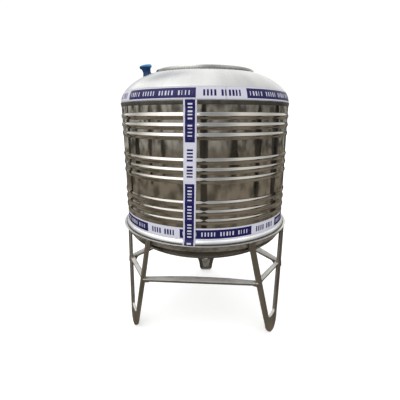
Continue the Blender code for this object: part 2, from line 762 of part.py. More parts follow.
def build():
    clear_scene()
    polished = make_material("polished_steel", (0.42, 0.41, 0.39), 1.0, 0.12)
    satin = make_material("satin_steel", (0.72, 0.73, 0.74), 1.0, 0.35)
    stand = make_material("stand_steel", (0.33, 0.31, 0.28), 1.0, 0.38)
    blue = make_material("blue_plastic", (0.02, 0.12, 0.24), 0.0, 0.35)

    make_wall(polished)
    make_hem(polished)
    make_seam(satin)
    make_dome(satin, make_vent_cutter())
    make_dish(polished)
    make_outlet(stand)
    make_neck(satin)
    make_lid(satin)
    make_lid_bail(satin)
    make_vent_collar(satin)
    make_vent_cap(blue)
    make_legs(stand)
    make_shoes(stand)
    make_ring(stand)
    make_saddles(stand)
    make_braces(stand)


build()
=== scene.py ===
import math

import bmesh
import bpy
from mathutils import Matrix, Vector, noise


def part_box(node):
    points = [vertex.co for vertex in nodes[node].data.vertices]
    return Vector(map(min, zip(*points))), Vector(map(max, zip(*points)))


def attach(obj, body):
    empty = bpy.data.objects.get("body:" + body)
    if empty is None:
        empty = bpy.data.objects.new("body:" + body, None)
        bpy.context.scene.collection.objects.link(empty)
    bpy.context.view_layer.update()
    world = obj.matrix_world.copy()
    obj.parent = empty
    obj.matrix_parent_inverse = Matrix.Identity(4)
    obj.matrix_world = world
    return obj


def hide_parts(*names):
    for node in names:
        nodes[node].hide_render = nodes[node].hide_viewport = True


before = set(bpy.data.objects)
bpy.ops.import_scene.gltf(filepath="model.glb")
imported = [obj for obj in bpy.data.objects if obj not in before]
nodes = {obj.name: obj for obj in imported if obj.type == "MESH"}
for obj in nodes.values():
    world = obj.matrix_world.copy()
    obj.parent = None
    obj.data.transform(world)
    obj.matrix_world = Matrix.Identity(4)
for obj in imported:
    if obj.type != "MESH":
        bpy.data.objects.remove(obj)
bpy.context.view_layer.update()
print("frame loaded:", len(nodes), "nodes")

# Driving sizes, read from the frame
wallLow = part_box("wall_segment_1")[0].z
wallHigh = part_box("wall_segment_1")[1].z
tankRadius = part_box("dome")[1].x
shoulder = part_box("dome")[0].z
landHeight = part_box("dome")[1].z
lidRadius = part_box("lid")[1].x
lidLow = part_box("lid")[0].z
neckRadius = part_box("manhole_neck")[1].x
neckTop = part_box("manhole_neck")[1].z
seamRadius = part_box("shoulder_seam")[1].x
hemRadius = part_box("base_hem")[1].x
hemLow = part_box("base_hem")[0].z
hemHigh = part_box("base_hem")[1].z
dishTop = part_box("bottom_dish")[1].z
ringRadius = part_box("stand_ring")[1].x
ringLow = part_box("stand_ring")[0].z
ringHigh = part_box("stand_ring")[1].z
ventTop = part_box("vent_cap")[1].z
gap = 0.0003


# Small helpers for meshes

def linkObject(name, mesh):
    item = bpy.data.objects.new(name, mesh)
    bpy.context.scene.collection.objects.link(item)
    return item


def meshPiece(name, bm, material, sharp=35.0):
    mesh = bpy.data.meshes.new(name)
    bm.to_mesh(mesh)
    bm.free()
    mesh.shade_smooth()
    mesh.set_sharp_from_angle(angle=math.radians(sharp))
    mesh.materials.append(material)
    return linkObject(name, mesh)


def finishPiece(piece, body="tank", stands=()):
    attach(piece, body)
    if stands:
        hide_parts(*stands)


def addPiece(name, bm, look, stands=(), body="tank", sharp=35.0):
    finishPiece(meshPiece(name, bm, looks[look], sharp), body, stands)


def spunMesh(outline, steps=256, closed=True):  # (radius, height) points; an open outline ends on the axis
    bm = bmesh.new()
    verts = [bm.verts.new((0.0, -radius, height)) for radius, height in outline]
    edges = [bm.edges.new(pair) for pair in zip(verts, verts[1:])]
    if closed:
        edges.append(bm.edges.new((verts[-1], verts[0])))
    bmesh.ops.spin(bm, geom=verts + edges, cent=(0, 0, 0), axis=(0, 0, 1), angle=math.tau,
                   steps=steps, use_merge=True, use_duplicate=False)
    bmesh.ops.remove_doubles(bm, verts=bm.verts, dist=1e-6)
    bmesh.ops.recalc_face_normals(bm, faces=bm.faces)
    return bm


def arc(centre, radius, start, end, count):  # angles in degrees
    angles = [math.radians(start + (end - start) * index / count) for index in range(count + 1)]
    return [(centre[0] + radius * math.cos(angle), centre[1] + radius * math.sin(angle)) for angle in angles]


def ellipseArc(radius, rise, base, stop, count):
    return [(radius * math.cos(stop * index / count), base + rise * math.sin(stop * index / count))
            for index in range(count + 1)]


def roundPoint(radius, turn, height):  # turn 0 is the front
    return Vector((radius * math.sin(turn), -radius * math.cos(turn), height))


def vertsOf(parts):
    return [part for part in parts if isinstance(part, bmesh.types.BMVert)]


def extrudeFace(bm, face, vec):
    grown = bmesh.ops.extrude_face_region(bm, geom=[face])["geom"]
    bmesh.ops.translate(bm, verts=vertsOf(grown), vec=vec)


def bevelParts(bm, parts, offset, segments, affect="EDGES"):
    bmesh.ops.bevel(bm, geom=parts, offset=offset, offset_type="OFFSET", segments=segments, profile=0.5,
                    affect=affect, material=-1, clamp_overlap=True)


# Small helpers for materials

def feedNode(tree, node, values):  # a value is a number, a colour, a vector or another node's output
    for key, value in values.items():
        socket = node.inputs[key]
        if isinstance(value, bpy.types.NodeSocket):
            tree.links.new(value, socket)
        elif socket.type == "RGBA":
            socket.default_value = (*value, 1.0)
        else:
            socket.default_value = value
    return node


def addNode(tree, kind, values=None, **settings):
    node = tree.nodes.new(kind)
    for key, value in settings.items():
        setattr(node, key, value)
    return feedNode(tree, node, values or {})


def mathNode(tree, operation, *values):
    return addNode(tree, "ShaderNodeMath", dict(enumerate(values)), operation=operation).outputs[0]


def mixColor(tree, factor, first, second):
    values = {"Factor": factor, 6: first, 7: second}
    return addNode(tree, "ShaderNodeMix", values, data_type="RGBA").outputs[2]


def mapRange(tree, value, fromLow, fromHigh, toLow=0.0, toHigh=1.0):
    values = (value, fromLow, fromHigh, toLow, toHigh)
    return addNode(tree, "ShaderNodeMapRange", dict(enumerate(values))).outputs[0]


def splitVector(tree, vector):
    return addNode(tree, "ShaderNodeSeparateXYZ", {0: vector}).outputs


def objectCoords(tree, stretch=None):
    place = tree.nodes.new("ShaderNodeTexCoord").outputs["Object"]
    if stretch is None:
        return place
    return addNode(tree, "ShaderNodeVectorMath", {0: place, 1: stretch}, operation="MULTIPLY").outputs[0]


def nodeMaterial(name):
    material = bpy.data.materials.new(name)
    material.use_nodes = True
    return material, material.node_tree, material.node_tree.nodes["Principled BSDF"]


def noiseValue(tree, place, scale, detail, roughness=0.5):
    return addNode(tree, "ShaderNodeTexNoise", {"Vector": place, "Scale": scale, "Detail": detail,
                                                "Roughness": roughness}).outputs["Fac"]


def bumpNormal(tree, height, depth, strength=1.0):
    return addNode(tree, "ShaderNodeBump", {"Strength": strength, "Distance": depth,
                                            "Height": height}).outputs["Normal"]


def newGroup(name, build, output, inputs):  # the output is a mask or a normal
    group = bpy.data.node_groups.new(name, "ShaderNodeTree")
    for label, value in inputs.items():
        kind = "NodeSocketVector" if isinstance(value, tuple) else "NodeSocketFloat"
        group.interface.new_socket(name=label, in_out="INPUT", socket_type=kind).default_value = value
    kind = "NodeSocketVector" if output == "Normal" else "NodeSocketFloat"
    group.interface.new_socket(name=output, in_out="OUTPUT", socket_type=kind)
    given = group.nodes.new("NodeGroupInput").outputs
    feedNode(group, group.nodes.new("NodeGroupOutput"), {0: build(group, given)})
    return group


def placeGroup(tree, group, values=None):
    return addNode(tree, "ShaderNodeGroup", values, node_tree=group).outputs[0]


# Shared effects

def clouds(tree, given):  # soft cloudy mask from 0 to 1
    place = objectCoords(tree, given["Stretch"])
    cloud = noiseValue(tree, place, given["Scale"], given["Detail"], roughness=0.55)
    return mapRange(tree, cloud, given["Low"], given["High"])


def waves(tree, given):  # long shallow dents of rolled sheet, as a normal
    place = objectCoords(tree, given["Stretch"])
    dent = noiseValue(tree, place, given["Scale"], detail=1.5, roughness=0.4)
    return bumpNormal(tree, dent, given["Depth"])


def turnings(tree, given):  # fine rings round the tank's axis, left by spinning and polishing
    side, depth, height = splitVector(tree, objectCoords(tree))
    square = mathNode(tree, "ADD", mathNode(tree, "MULTIPLY", side, side),
                      mathNode(tree, "MULTIPLY", depth, depth))
    place = addNode(tree, "ShaderNodeCombineXYZ", {
        0: mathNode(tree, "MULTIPLY", mathNode(tree, "SQRT", square), given["Density"]),
        2: mathNode(tree, "MULTIPLY", height, given["Density"])})
    line = noiseValue(tree, place.outputs[0], scale=1.0, detail=3.0)
    return bumpNormal(tree, line, given["Depth"], strength=0.6)


def streaks(tree, given):  # soft rays that run out from the tank's axis, left by polishing the dome
    heading = addNode(tree, "ShaderNodeVectorMath", {0: objectCoords(tree, (1.0, 1.0, 0.0))},
                      operation="NORMALIZE")
    ray = noiseValue(tree, heading.outputs[0], given["Scale"], detail=3.0, roughness=0.6)
    return mapRange(tree, ray, given["Low"], given["High"])


def dustAndPaintedTopLight(tree, given):  # mask of the faces that look up, broken by clouds: dust, which also paints a highlight on the top faces
    facing = tree.nodes.new("ShaderNodeNewGeometry").outputs["Normal"]
    upward = mapRange(tree, splitVector(tree, facing)[2], given["Low"], given["High"])
    cloud = noiseValue(tree, objectCoords(tree), scale=26.0, detail=5.0)
    total = mathNode(tree, "MULTIPLY", upward, mathNode(tree, "MULTIPLY_ADD", cloud, 0.9, 0.5))
    return mathNode(tree, "MINIMUM", total, 1.0)


cloudyMask = newGroup("cloudyMask", clouds, "Mask", {
    "Scale": 6.0, "Detail": 4.0, "Low": 0.35, "High": 0.65, "Stretch": (1.0, 1.0, 1.0)})
rolledDents = newGroup("rolledDents", waves, "Normal", {
    "Scale": 5.0, "Depth": 0.001, "Stretch": (1.0, 1.0, 1.0)})
turnedLines = newGroup("turnedLines", turnings, "Normal", {"Density": 420.0, "Depth": 0.0001})
radialStreaks = newGroup("radialStreaks", streaks, "Mask", {"Scale": 3.0, "Low": 0.35, "High": 0.65})
dustAndPaintedTopLightMask = newGroup("dustAndPaintedTopLightMask", dustAndPaintedTopLight, "Mask", {"Low": 0.3, "High": 0.85})

steels = {  # edge is a band of painted shade or painted highlight: a colour, and the heights where it is nil and full
    "mirrorSteel": {
        "pale": (0.61, 0.585, 0.545), "dark": (0.52, 0.495, 0.455), "rough": (0.05, 0.095),
        "cloud": {"Scale": 3.0, "Detail": 3.0},
        "dents": {"Scale": 5.5, "Depth": 0.001, "Stretch": (1.0, 1.0, 0.8)},
    },
    "satinSteel": {
        "pale": (0.6, 0.6, 0.595), "dark": (0.42, 0.42, 0.425), "rough": (0.22, 0.32),
        "cloud": {"Scale": 4.0, "Detail": 5.0, "Low": 0.4, "High": 0.72},
        "lines": {"Density": 380.0, "Depth": 0.00008},
        "streaks": {"Scale": 2.6, "Low": 0.36, "High": 0.66},
    },
    # near-white, mostly diffuse steel: a painted reflection of the bright ceiling on the flared hem
    "hemSteelPaintedReflection": {
        "pale": (0.93, 0.93, 0.94), "dark": (0.8, 0.8, 0.81), "rough": (0.2, 0.3), "metallic": 0.35,
        "cloud": {"Scale": 7.0, "Detail": 3.0},
        "dents": {"Scale": 9.0, "Depth": 0.0005},
        # painted shadow: dark band along the hem's foot, where it meets the ring's lip
        "edge": ((0.042, 0.04, 0.035), hemLow + 0.018, hemLow + 0.004),
    },
    "seamSteel": {
        "pale": (0.24, 0.235, 0.22), "dark": (0.14, 0.135, 0.125), "rough": (0.32, 0.48),
        "cloud": {"Scale": 18.0, "Detail": 5.0},
        "dents": {"Scale": 30.0, "Depth": 0.0004},
    },
    "lidSteel": {
        "pale": (0.54, 0.54, 0.525), "dark": (0.44, 0.44, 0.43), "rough": (0.24, 0.3),
        "cloud": {"Scale": 3.0, "Detail": 2.0},
    },
    "standSteel": {
        "pale": (0.38, 0.353, 0.318), "dark": (0.25, 0.231, 0.205), "rough": (0.3, 0.46),
        "cloud": {"Scale": 11.0, "Detail": 5.0, "Low": 0.35, "High": 0.7, "Stretch": (1.0, 1.0, 0.3)},
        "dents": {"Scale": 16.0, "Depth": 0.0009, "Stretch": (1.0, 1.0, 0.4)},
        # pale colour of the up-facing faces: dust, and a painted highlight on the tops
        "dustAndPaintedTopLight": (0.74, 0.724, 0.69),
    },
    "ringSteel": {
        "pale": (0.46, 0.445, 0.418), "dark": (0.21, 0.201, 0.185), "rough": (0.26, 0.42), "metallic": 0.88,
        "cloud": {"Scale": 24.0, "Detail": 6.0, "Low": 0.38, "High": 0.62, "Stretch": (1.0, 1.0, 3.0)},
        "dents": {"Scale": 22.0, "Depth": 0.0007, "Stretch": (1.0, 1.0, 2.0)},
        # painted highlight: pale band along the top of the ring's lip
        "edge": ((0.62, 0.609, 0.58), ringHigh - 0.004, ringHigh - 0.0026),
    },
    "plateSteel": {
        "pale": (0.33, 0.321, 0.3), "dark": (0.17, 0.162, 0.148), "rough": (0.34, 0.5), "metallic": 0.45,
        "cloud": {"Scale": 24.0, "Detail": 5.0},
        "dents": {"Scale": 22.0, "Depth": 0.0006},
    },
    # weld beads in very pale steel, which paints their glints
    "weldSteelPaintedGlint": {
        "pale": (0.9, 0.885, 0.86), "dark": (0.5, 0.48, 0.45), "rough": (0.22, 0.4),
        "cloud": {"Scale": 60.0, "Detail": 3.0},
        "dents": {"Scale": 160.0, "Depth": 0.0006},
    },
    # very dark copy of the tank's steel: painted shade on the dish's underside
    "dishSteelPaintedShade": {
        "pale": (0.16, 0.15, 0.132), "dark": (0.1, 0.093, 0.081), "rough": (0.12, 0.22),
        "cloud": {"Scale": 6.0, "Detail": 4.0},
        "dents": {"Scale": 7.0, "Depth": 0.001},
    },
}

wear = {
    "streakShare": 0.6,
    "smearScale": 2.7,
    "smear": {"Detail": 6.0, "Low": 0.3, "High": 0.7, "Stretch": (1.0, 1.0, 0.35)},
    "dustRough": 0.18,
    "dustMetallic": 0.25,
}


def steelMaterial(name, steel):
    material, tree, shader = nodeMaterial(name)
    mask = placeGroup(tree, cloudyMask, steel["cloud"])
    if "streaks" in steel:
        share = wear["streakShare"]
        rays = mathNode(tree, "MULTIPLY", placeGroup(tree, radialStreaks, steel["streaks"]), share)
        mask = mathNode(tree, "MULTIPLY_ADD", mask, 1.0 - share, rays)
    color = mixColor(tree, mask, steel["pale"], steel["dark"])
    smearScale = steel["cloud"]["Scale"] * wear["smearScale"]
    smear = placeGroup(tree, cloudyMask, {**wear["smear"], "Scale": smearScale})
    rough = mapRange(tree, smear, 0.0, 1.0, *steel["rough"])
    metallic = steel.get("metallic", 1.0)
    # up-facing faces turn pale: dust, and painted top light
    if "dustAndPaintedTopLight" in steel:
        layer = placeGroup(tree, dustAndPaintedTopLightMask)
        color = mixColor(tree, layer, color, steel["dustAndPaintedTopLight"])
        rough = mathNode(tree, "MULTIPLY_ADD", layer, wear["dustRough"], rough)
        metallic = mapRange(tree, layer, 0.0, 1.0, metallic, metallic * wear["dustMetallic"])
    # painted light band by height: painted shadow at the hem's foot, painted highlight on the ring's lip
    if "edge" in steel:
        paintedEdgeLight, nil, full = steel["edge"]
        height = splitVector(tree, objectCoords(tree))[2]
        color = mixColor(tree, mapRange(tree, height, nil, full), color, paintedEdgeLight)
    feedNode(tree, shader, {"Base Color": color, "Roughness": rough, "Metallic": metallic})
    for effect, group in (("dents", rolledDents), ("lines", turnedLines)):
        if effect in steel:
            feedNode(tree, shader, {"Normal": placeGroup(tree, group, steel[effect])})
    return material


film = {
    "white": (0.455, 0.455, 0.525),
    "navy": (0.004, 0.003, 0.066),
    "rough": (0.3, 0.45),
    "shine": 0.22,
    "creases": {"Scale": 22.0, "Depth": 0.0011},
    "scuffs": {"Scale": 24.0},
    "width": 0.059,
    "blockLength": 0.353,
    "period": 0.536,
    "margin": 0.0075,
    "barPitch": 0.0147,
    "barGroup": 6.0,
    "barWidths": (0.003, 0.0075),
    "barHalfHeight": 0.01,
    "boldWidths": (0.0072, 0.0108),
    "boldHalfHeight": 0.0138,
    "blockEnd": 0.0147,
    "plainEnd": 0.029,
    "thickness": 0.0005,
}


def filmMaterial():  # reads the piece's print map: metres along the film and across it
    material, tree, shader = nodeMaterial("markingFilm")

    def calc(operation, *values):
        return mathNode(tree, operation, *values)

    printMap = addNode(tree, "ShaderNodeUVMap", uv_map="printMap")
    along, across = splitVector(tree, printMap.outputs[0])[:2]
    period, block = film["period"], film["blockLength"]
    local = calc("MULTIPLY", calc("FRACT", calc("DIVIDE", along, period)), period)
    fromMiddle = calc("ABSOLUTE", calc("SUBTRACT", across, film["width"] / 2))
    inBlock = calc("MULTIPLY", calc("LESS_THAN", local, block),
                   calc("LESS_THAN", fromMiddle, film["width"] / 2 - film["margin"]))
    cells = calc("DIVIDE", local, film["barPitch"])
    number = calc("FLOOR", cells)
    place = calc("MULTIPLY", calc("FRACT", cells), film["barPitch"])
    grouped = calc("GREATER_THAN", calc("MODULO", number, film["barGroup"]), 0.5)
    chance = addNode(tree, "ShaderNodeTexWhiteNoise", {"W": number}, noise_dimensions="1D").outputs["Value"]
    rows = []
    for start, end, margin, kind in ((0.0, block, "blockEnd", "bar"), (block, period, "plainEnd", "bold")):
        away = calc("ABSOLUTE", calc("SUBTRACT", local, (start + end) / 2))
        row = calc("MULTIPLY", calc("LESS_THAN", away, (end - start) / 2 - film[margin]),
                   calc("LESS_THAN", fromMiddle, film[kind + "HalfHeight"]))
        wide = mapRange(tree, chance, 0.0, 1.0, *film[kind + "Widths"])
        rows.append(calc("MULTIPLY", row, calc("LESS_THAN", place, wide)))
    bars = calc("MULTIPLY", calc("MAXIMUM", *rows), grouped)
    navy = calc("ABSOLUTE", calc("SUBTRACT", inBlock, bars))
    feedNode(tree, shader, {
        "Base Color": mixColor(tree, navy, film["white"], film["navy"]),
        "Roughness": mapRange(tree, placeGroup(tree, cloudyMask, film["scuffs"]), 0.0, 1.0, *film["rough"]),
        "Specular IOR Level": film["shine"],
        "Normal": placeGroup(tree, rolledDents, film["creases"])})
    return material


plastic = {
    "pale": (0.003, 0.036, 0.12),
    "dark": (0.002, 0.024, 0.085),
    # pale blue of the painted top light, and the depths below the top where it is full and nil
    "paintedCapLight": (0.12, 0.4, 0.72),
    "paintedCapDepth": (0.018, 0.002),
    "rough": (0.3, 0.42),
    "shine": 0.2,
    "cloud": {"Scale": 30.0, "Detail": 3.0},
}


def plasticMaterial():  # painted highlight: the colour turns pale towards the vent's top
    material, tree, shader = nodeMaterial("bluePlastic")
    mask = placeGroup(tree, cloudyMask, plastic["cloud"])
    height = splitVector(tree, objectCoords(tree))[2]
    paintedCapShare = mapRange(tree, height, *(ventTop - depth for depth in plastic["paintedCapDepth"]))
    color = mixColor(tree, paintedCapShare, mixColor(tree, mask, plastic["pale"], plastic["dark"]), plastic["paintedCapLight"])
    feedNode(tree, shader, {"Base Color": color, "Specular IOR Level": plastic["shine"],
                            "Roughness": mapRange(tree, mask, 0.0, 1.0, *plastic["rough"])})
    return material


looks = {name: steelMaterial(name, steel) for name, steel in steels.items()}
looks["markingFilm"] = filmMaterial()
looks["bluePlastic"] = plasticMaterial()
print("materials made")


# Camera, light, floor and the surroundings that the steel mirrors

photoView = {
    "azimuth": 4.2,
    "distance": 1.7667,
    "height": 1.1975,
    "pitch": 15.32,
    "focalPixels": 302.4,
    "framePixels": 400.0,
    "centrePixel": 204.94,
    "sensor": 36.0,
}


def makeCamera():
    turn = math.radians(photoView["azimuth"])
    frameWidth = photoView["framePixels"]
    data = bpy.data.cameras.new("photoCamera")
    data.sensor_fit = "HORIZONTAL"
    data.sensor_width = photoView["sensor"]
    data.lens = photoView["sensor"] * photoView["focalPixels"] / frameWidth
    data.shift_x = (frameWidth / 2 - photoView["centrePixel"]) / frameWidth
    camera = linkObject("photoCamera", data)
    camera.location = roundPoint(photoView["distance"], turn, photoView["height"])
    camera.rotation_euler = (math.radians(90.0 - photoView["pitch"]), 0.0, turn)
    bpy.context.scene.camera = camera


studio = {
    "worldStrength": 1.08,
    "floorRadius": 40.0,
    "floorColor": (0.78, 0.78, 0.775),
    "floorRough": 0.8,
    "floorGlow": 0.47,
    "keyPower": 38.0,
    "keySize": 3.2,
    "keyPlace": (-1.6, -2.4, 3.6),
    "groundHeight": 0.002,
    "bandRadius": 11.0,
    "bandHeight": 3.0,
    "skyRadius": 16.0,
    "skyPower": 1.75,
    "skyLeft": (1.0, 1.0, 0.985),
    "skyRight": (0.6, 0.6, 0.595),
    "skySides": (-0.75, 0.75),  # shares of the sky's radius
    "skyFlank": (0.4, 0.4, 0.4),
    "flankDepth": (-0.35, 0.15),
    "flankSide": (0.55, 0.92),
    "skyShade": (0.27, 0.29, 0.315),
    "shades": [  # azimuth, elevation, inner and outer reach in degrees, strength
        (16.0, 38.0, 11.0, 33.0, 1.0),
        (-152.0, 45.0, 3.0, 15.0, 0.8),
        (-154.0, 10.0, 8.0, 24.0, 0.95),
    ],
}

glows = {
    "darkGround": {
        "dark": (0.105, 0.092, 0.068), "pale": (0.285, 0.25, 0.2),
        "cloud": {"Scale": 0.9, "Low": 0.42, "High": 0.57},
    },
    "horizonBand": {
        "dark": (0.075, 0.069, 0.058), "pale": (0.52, 0.51, 0.47), "fade": 0.6,
        "cloud": {"Scale": 0.55, "Low": 0.43, "High": 0.58, "Stretch": (1.0, 1.0, 4.5)},
    },
    "darkShapes": {
        "dark": (0.008, 0.007, 0.006), "pale": (0.055, 0.05, 0.042),
        "cloud": {"Scale": 2.2, "Low": 0.4, "High": 0.6},
    },
}

shapes = {
    "places": [  # azimuth, distance, width, height
        (3.0, 2.25, 0.36, 1.75), (74.0, 3.6, 0.62, 1.55), (41.0, 5.5, 1.3, 1.00),
        (107.0, 3.4, 0.85, 1.6), (-69.0, 4.6, 0.42, 1.55), (-50.0, 5.2, 0.5, 1.05),
        (-95.0, 5.0, 0.9, 1.1), (-114.0, 3.4, 0.5, 1.6), (150.0, 3.0, 0.4, 1.6),
        (185.0, 4.0, 0.7, 1.5), (-150.0, 3.6, 0.4, 1.6),
    ],
    "rise": 0.42,
    "swell": 0.9,
    "swellScale": 2.6,
}


def emissionMaterial(name, power=1.0):
    material, tree, shader = nodeMaterial(name)
    tree.nodes.remove(shader)
    glow = addNode(tree, "ShaderNodeEmission", {"Strength": power})
    feedNode(tree, tree.nodes["Material Output"], {"Surface": glow.outputs[0]})
    return material, tree, glow


def cloudyGlow(name):  # a fade darkens the right side
    material, tree, glow = emissionMaterial(name)
    look = glows[name]
    color = mixColor(tree, placeGroup(tree, cloudyMask, look["cloud"]), look["dark"], look["pale"])
    if "fade" in look:
        side = splitVector(tree, objectCoords(tree))[0]
        share = mapRange(tree, side, 0.0, studio["bandRadius"], 0.0, look["fade"])
        color = mixColor(tree, share, color, look["dark"])
    feedNode(tree, glow, {"Color": color})
    return material


def skyGlow():  # brighter on the left, with dim flanks and a few shaded patches
    material, tree, glow = emissionMaterial("reflectedSky", studio["skyPower"])
    reach = studio["skyRadius"]
    place = objectCoords(tree)
    side, depth = splitVector(tree, place)[:2]

    def shareOf(value, name):
        return mapRange(tree, value, *(share * reach for share in studio[name]))

    color = mixColor(tree, shareOf(side, "skySides"), studio["skyLeft"], studio["skyRight"])
    flank = mathNode(tree, "MULTIPLY", shareOf(depth, "flankDepth"),
                     shareOf(mathNode(tree, "ABSOLUTE", side), "flankSide"))
    color = mixColor(tree, flank, color, studio["skyFlank"])
    for azimuth, elevation, inner, outer, strength in studio["shades"]:
        rise = math.radians(elevation)
        heading = roundPoint(math.cos(rise), math.radians(azimuth), math.sin(rise))
        toward = addNode(tree, "ShaderNodeVectorMath", {0: place, 1: heading / reach},
                         operation="DOT_PRODUCT")
        shade = mapRange(tree, toward.outputs["Value"], math.cos(math.radians(outer)),
                         math.cos(math.radians(inner)), 0.0, strength)
        color = mixColor(tree, shade, color, studio["skyShade"])
    feedNode(tree, glow, {"Color": color})
    return material


def reflectionCard(name, bm, material):  # seen only in the steel's reflections
    card = meshPiece(name, bm, material)
    for ray in ("camera", "diffuse", "transmission", "volume_scatter", "shadow"):
        setattr(card, "visible_" + ray, False)


def circleMesh(radius, filled=True):
    bm = bmesh.new()
    bmesh.ops.create_circle(bm, cap_ends=filled, segments=96, radius=radius)
    return bm


def makeFloor():
    material, tree, shader = nodeMaterial("paleFloor")
    feedNode(tree, shader, {
        "Base Color": studio["floorColor"], "Roughness": studio["floorRough"], "Specular IOR Level": 0.0,
        "Emission Color": (1.0, 1.0, 1.0), "Emission Strength": studio["floorGlow"]})
    meshPiece("paleFloor", circleMesh(studio["floorRadius"]), material)


def makeSky():
    bm = bmesh.new()
    bmesh.ops.create_uvsphere(bm, u_segments=64, v_segments=32, radius=studio["skyRadius"])
    bmesh.ops.bisect_plane(bm, geom=bm.verts[:] + bm.edges[:] + bm.faces[:], plane_co=(0, 0, 0.01),
                           plane_no=(0, 0, 1), clear_inner=True)
    reflectionCard("reflectedSky", bm, skyGlow())


def makeSurroundings():  # dark ground, a mixed horizon and a few upright shapes
    bm = circleMesh(studio["bandRadius"])
    bmesh.ops.translate(bm, verts=bm.verts, vec=(0, 0, studio["groundHeight"]))
    reflectionCard("darkGround", bm, cloudyGlow("darkGround"))
    bm = circleMesh(studio["bandRadius"], False)
    grown = bmesh.ops.extrude_edge_only(bm, edges=bm.edges)["geom"]
    bmesh.ops.translate(bm, verts=vertsOf(grown), vec=(0, 0, studio["bandHeight"]))
    reflectionCard("horizonBand", bm, cloudyGlow("horizonBand"))
    bm = bmesh.new()
    for azimuth, distance, width, tall in shapes["places"]:
        made = bmesh.ops.create_icosphere(bm, subdivisions=3, radius=0.5)["verts"]
        bmesh.ops.scale(bm, verts=made, vec=(width, width, tall))
        for vert in made:
            swell = noise.noise(Vector((vert.co.z * shapes["swellScale"], azimuth, 0.0)))
            vert.co.x *= 1.0 + shapes["swell"] * swell
            vert.co.y *= 1.0 + shapes["swell"] * swell
        spot = roundPoint(distance, math.radians(azimuth), tall * shapes["rise"])
        bmesh.ops.translate(bm, verts=made, vec=spot)
    reflectionCard("darkShapes", bm, cloudyGlow("darkShapes"))


def makeStudio():
    scene = bpy.context.scene
    scene.view_settings.view_transform = "Standard"
    world = bpy.data.worlds.new("paleStudio")
    world.use_nodes = True
    feedNode(world.node_tree, world.node_tree.nodes["Background"],
             {"Color": (1.0, 1.0, 1.0), "Strength": studio["worldStrength"]})
    scene.world = world
    data = bpy.data.lights.new("softKey", "AREA")
    data.energy = studio["keyPower"]
    data.size = studio["keySize"]
    key = linkObject("softKey", data)
    key.location = studio["keyPlace"]
    key.rotation_euler = (-Vector(studio["keyPlace"])).to_track_quat("-Z", "Y").to_euler()
    makeFloor()
    makeSky()
    makeSurroundings()


makeCamera()
makeStudio()
print("camera and studio made")


# Wall with its pressed ribs

ribs = {
    "groups": 3,
    "perGroup": 3,
    "topGroup": 1.1596,
    "groupPitch": 0.1926,
    "pitch": 0.0428,
    "halfWidth": 0.016,
    "height": 0.0043,
    "across": 16,
    "holdLines": (1.06, 1.35),
    "sheet": 0.0016,
    "edge": 0.001,
}


def groupHeights():
    return [ribs["topGroup"] - group * ribs["groupPitch"] for group in range(ribs["groups"])]


def ribHeights():
    count = ribs["perGroup"]
    return sorted(middle + (index - (count - 1) / 2) * ribs["pitch"]
                  for middle in groupHeights() for index in range(count))


def ribBulge(height):
    near = min(abs(height - middle) for middle in ribHeights())
    if near >= ribs["halfWidth"]:
        return 0.0
    return ribs["height"] * (1.0 + math.cos(math.pi * near / ribs["halfWidth"])) / 2


def wallLine(shift):
    heights = [wallLow, wallLow + ribs["edge"], wallHigh - ribs["edge"], wallHigh]
    shares = [2 * step / ribs["across"] - 1 for step in range(ribs["across"] + 1)]
    shares += [side * hold for side in (-1, 1) for hold in ribs["holdLines"]]
    for middle in ribHeights():
        heights += [middle + share * ribs["halfWidth"] for share in shares]
    return [(tankRadius - shift + ribBulge(height), height) for height in sorted(heights)]


def makeWall():
    outline = wallLine(0.0) + wallLine(ribs["sheet"])[::-1]
    addPiece("ribbed_wall", spunMesh(outline, 288), "mirrorSteel",
             [f"wall_segment_{index}" for index in range(1, 9)], sharp=60.0)


makeWall()


# Joint bands, dome, dish, neck and lid

bands = {
    "sheet": 0.0016,
    "hemTopRadius": 0.4528,
    "hemRows": 24,
    "seamFoot": 0.0014,
    "seamEdge": 0.0008,
    "domeLandRadius": 0.3064,
    "landRings": (0.29, 0.27),
    "dishDepth": 0.144,
    "outletRadius": 0.02,
    "outerRows": 48,
    "innerRows": 40,
}


def hemOuter(height):
    share = max(0.0, min(1.0, (height - hemLow) / (hemHigh - hemLow)))
    return bands["hemTopRadius"] + (hemRadius - bands["hemTopRadius"]) * (1.0 + math.cos(math.pi * share)) / 2


def makeHem():
    rows = bands["hemRows"]
    heights = [hemLow + (hemHigh - hemLow) * step / rows for step in range(rows + 1)]
    outer = [(hemOuter(height), height) for height in heights]
    inner = [(max(radius - bands["sheet"], tankRadius + gap), height) for radius, height in outer]
    addPiece("flared_hem", spunMesh(outer + inner[::-1]), "hemSteelPaintedReflection", ["base_hem"])


def makeSeam():  # its face leans in towards the foot, so that it mirrors the dark ground
    low = wallHigh + gap
    high = shoulder - gap
    edge = bands["seamEdge"]
    inner = tankRadius - bands["sheet"]
    foot = tankRadius + bands["seamFoot"] - edge
    outline = [(inner, low), (foot, low)]
    outline += arc((foot, low + edge), edge, -90.0, -10.0, 4)
    outline += arc((seamRadius - edge, high - edge), edge, -8.0, 90.0, 6)
    outline += [(inner, high)]
    addPiece("shoulder_bead", spunMesh(outline), "seamSteel", ["shoulder_seam"])


def domeRise():
    ratio = bands["domeLandRadius"] / tankRadius
    return (landHeight - shoulder) / math.sqrt(1.0 - ratio ** 2)


def domeHeight(radius):
    return min(shoulder + domeRise() * math.sqrt(1.0 - (radius / tankRadius) ** 2), landHeight)


def domeRadius(height):
    ratio = min((height - shoulder) / domeRise(), 1.0)
    return tankRadius * math.sqrt(1.0 - ratio ** 2)


